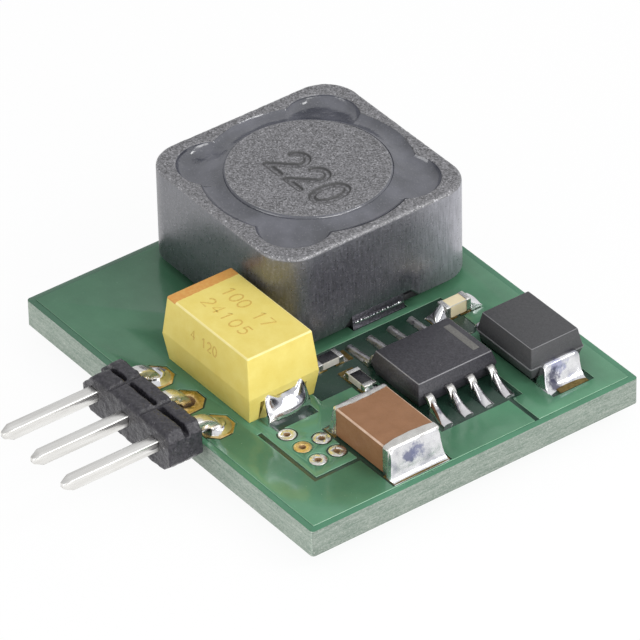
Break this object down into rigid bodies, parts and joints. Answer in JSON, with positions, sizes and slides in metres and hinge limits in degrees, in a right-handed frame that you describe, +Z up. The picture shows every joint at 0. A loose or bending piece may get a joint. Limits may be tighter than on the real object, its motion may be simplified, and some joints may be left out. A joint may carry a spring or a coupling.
{
  "type": "voltage regulator module",
  "caption": "Step-down voltage regulator on a small circuit board with a shielded power inductor, surface-mounted parts and a right-angle pin header.",
  "frame": {"origin": "middle of the overall box in plan, at the height of the pin tails' ends under the board", "axes": "-Y out along the header's pins, +X along the pin row, +Z up from the board's component side"},
  "size_m": [0.024, 0.0278, 0.0084],
  "materials": {
    "mask_green": "glossy green solder mask over glass laminate",
    "gold": "gold-plated copper",
    "tin": "tin-plated metal",
    "solder": "bright solder",
    "header_plastic": "black plastic, lightly scuffed",
    "ferrite": "grainy grey ferrite",
    "resin": "glossy dark grey potting resin",
    "copper": "enamelled copper wire",
    "base_plastic": "black plastic",
    "tantalum_yellow": "smooth yellow moulding compound",
    "mould_black": "charcoal moulding compound",
    "ceramic_brown": "smooth brown ceramic",
    "ceramic_beige": "smooth beige ceramic",
    "alumina": "white alumina",
    "glaze": "black glaze"
  },
  "bodies": {
    "root": {"board": "mask_green", "plated_holes": "gold", "vias": "gold", "header_insulator": "header_plastic", "header_pin_1": "tin", "header_pin_2": "tin", "header_pin_3": "tin", "header_solder_1": "solder", "header_solder_2": "solder", "header_solder_3": "solder", "inductor_shield": "ferrite", "inductor_drum": "ferrite", "inductor_winding": "copper", "inductor_resin": "resin", "inductor_base": "base_plastic", "inductor_terminal_left": "tin", "inductor_terminal_right": "tin", "inductor_solder_left": "solder", "inductor_solder_right": "solder", "tantalum_case": "tantalum_yellow", "tantalum_anode": "tin", "tantalum_cathode": "tin", "tantalum_solder_anode": "solder", "tantalum_solder_cathode": "solder", "ic_body": "mould_black", "ic_lead_1": "tin", "ic_lead_2": "tin", "ic_lead_3": "tin", "ic_lead_4": "tin", "ic_lead_5": "tin", "ic_lead_6": "tin", "ic_lead_7": "tin", "ic_lead_8": "tin", "ic_solder_left": "solder", "ic_solder_right": "solder", "diode_body": "mould_black", "diode_anode": "tin", "diode_cathode": "tin", "diode_solder_anode": "solder", "diode_solder_cathode": "solder", "mlcc_body": "ceramic_brown", "mlcc_cap_left": "tin", "mlcc_cap_right": "tin", "mlcc_solder_left": "solder", "mlcc_solder_right": "solder", "chip_cap_body": "ceramic_beige", "chip_cap_ends": "tin", "chip_cap_solder": "solder", "resistor_1_body": "alumina", "resistor_1_glaze": "glaze", "resistor_1_ends": "tin", "resistor_1_solder": "solder", "resistor_2_body": "alumina", "resistor_2_glaze": "glaze", "resistor_2_ends": "tin", "resistor_2_solder": "solder"}
  },
  "joints": []
}
